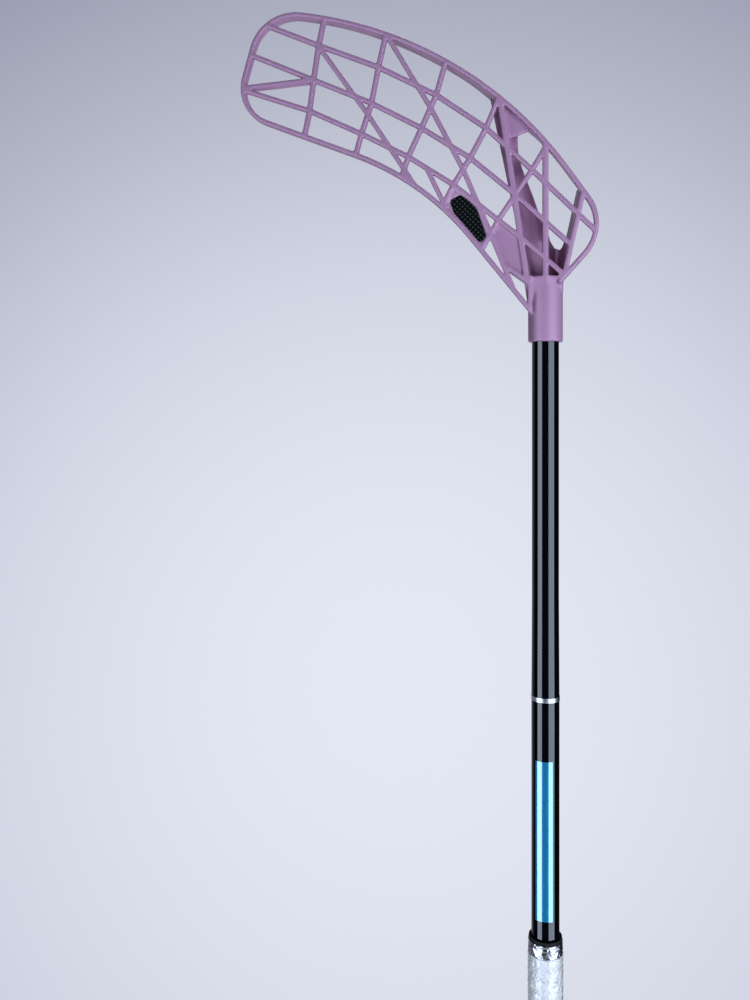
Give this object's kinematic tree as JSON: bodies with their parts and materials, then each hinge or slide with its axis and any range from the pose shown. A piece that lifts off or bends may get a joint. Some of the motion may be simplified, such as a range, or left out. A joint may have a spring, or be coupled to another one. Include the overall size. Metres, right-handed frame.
{
  "type": "floorball stick",
  "caption": "Floorball stick with an open lattice blade, a straight tube shaft with a foil label, and a wound grip still in its clear film.",
  "frame": {"origin": "centre of the flat butt face under the end cap", "axes": "+Z along the shaft towards the blade, the blade's tip towards -X and its playing face towards -Y"},
  "size_m": [0.2798, 0.0392, 1.138],
  "materials": {
    "blade_plastic": "satin",
    "carbon": "gloss",
    "steel": "satin",
    "shaft": "gloss",
    "bright_foil": "polished",
    "label_foil": "metallic",
    "black_rubber": "matte",
    "silver_tape": "metallic",
    "grip_tape": "matte",
    "clear_film": "gloss"
  },
  "bodies": {
    "root": {"blade": "blade_plastic", "blade_insert": "carbon", "blade_screws": "steel", "shaft_tube": "shaft", "shaft_band": "bright_foil", "shaft_label": "label_foil", "grip_collar": "black_rubber", "finishing_band": "silver_tape", "grip_wrap": "grip_tape", "grip_film": "clear_film", "end_cap": "black_rubber"}
  },
  "joints": []
}
